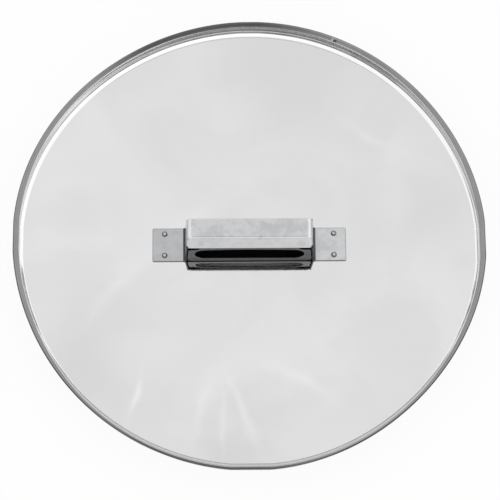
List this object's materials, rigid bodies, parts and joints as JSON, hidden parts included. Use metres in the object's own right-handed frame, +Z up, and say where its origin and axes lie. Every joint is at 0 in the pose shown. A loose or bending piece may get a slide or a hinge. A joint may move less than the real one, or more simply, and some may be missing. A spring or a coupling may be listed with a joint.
{
  "type": "floating tank lid",
  "caption": "Round shallow stainless dish lid that floats on the liquid in a tank, with a rolled rim and a boxed bridge handle riveted to the middle of its floor.",
  "frame": {"origin": "centre of the flat wetted face under the floor, which is the lowest point of the lid", "axes": "+X along the handle, +Y to the far side of the picture, +Z up, out of the open side of the dish"},
  "size_m": [0.5, 0.4999, 0.056],
  "materials": {
    "polished_steel": "bright polished stainless steel",
    "rim_steel": "rolled stainless steel strip",
    "handle_steel": "satin stainless steel with handling marks",
    "rivet_steel": "satin stainless steel"
  },
  "bodies": {
    "root": {"floor_disc": "polished_steel", "wall_hoop": "rim_steel", "grip_bridge": "handle_steel", "grip_side_front": "handle_steel", "grip_side_back": "handle_steel", "rivet_front_left": "rivet_steel", "rivet_front_right": "rivet_steel", "rivet_back_left": "rivet_steel", "rivet_back_right": "rivet_steel"}
  },
  "joints": []
}
